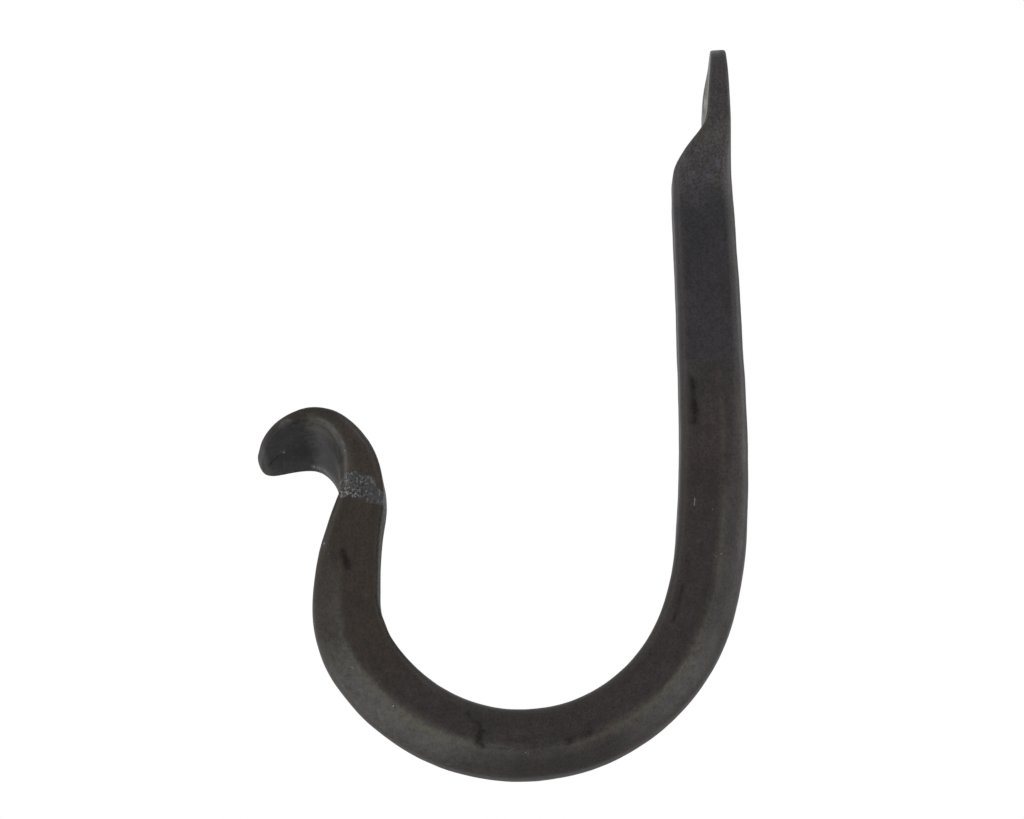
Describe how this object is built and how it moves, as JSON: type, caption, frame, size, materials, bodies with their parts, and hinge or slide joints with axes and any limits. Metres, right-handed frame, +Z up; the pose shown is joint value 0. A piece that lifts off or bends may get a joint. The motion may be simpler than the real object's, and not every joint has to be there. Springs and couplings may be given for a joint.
{
  "type": "wall hook",
  "caption": "Forged J-shaped wall hook in dark iron: a flat countersunk screw tab on a square bar that bends out and up to a thin flared lip, curled outwards.",
  "frame": {"origin": "centre of the screw hole, on the wall plane y = 0", "axes": "Z is up along the wall, the wall side faces +Y, the hook stands out towards -Y, and X runs across the bar"},
  "size_m": [0.0168, 0.0706, 0.1056],
  "materials": {
    "iron": "satin, oil-blackened forged scale, almost black with a brown tone"
  },
  "bodies": {
    "root": {"hook": "iron"}
  },
  "joints": []
}
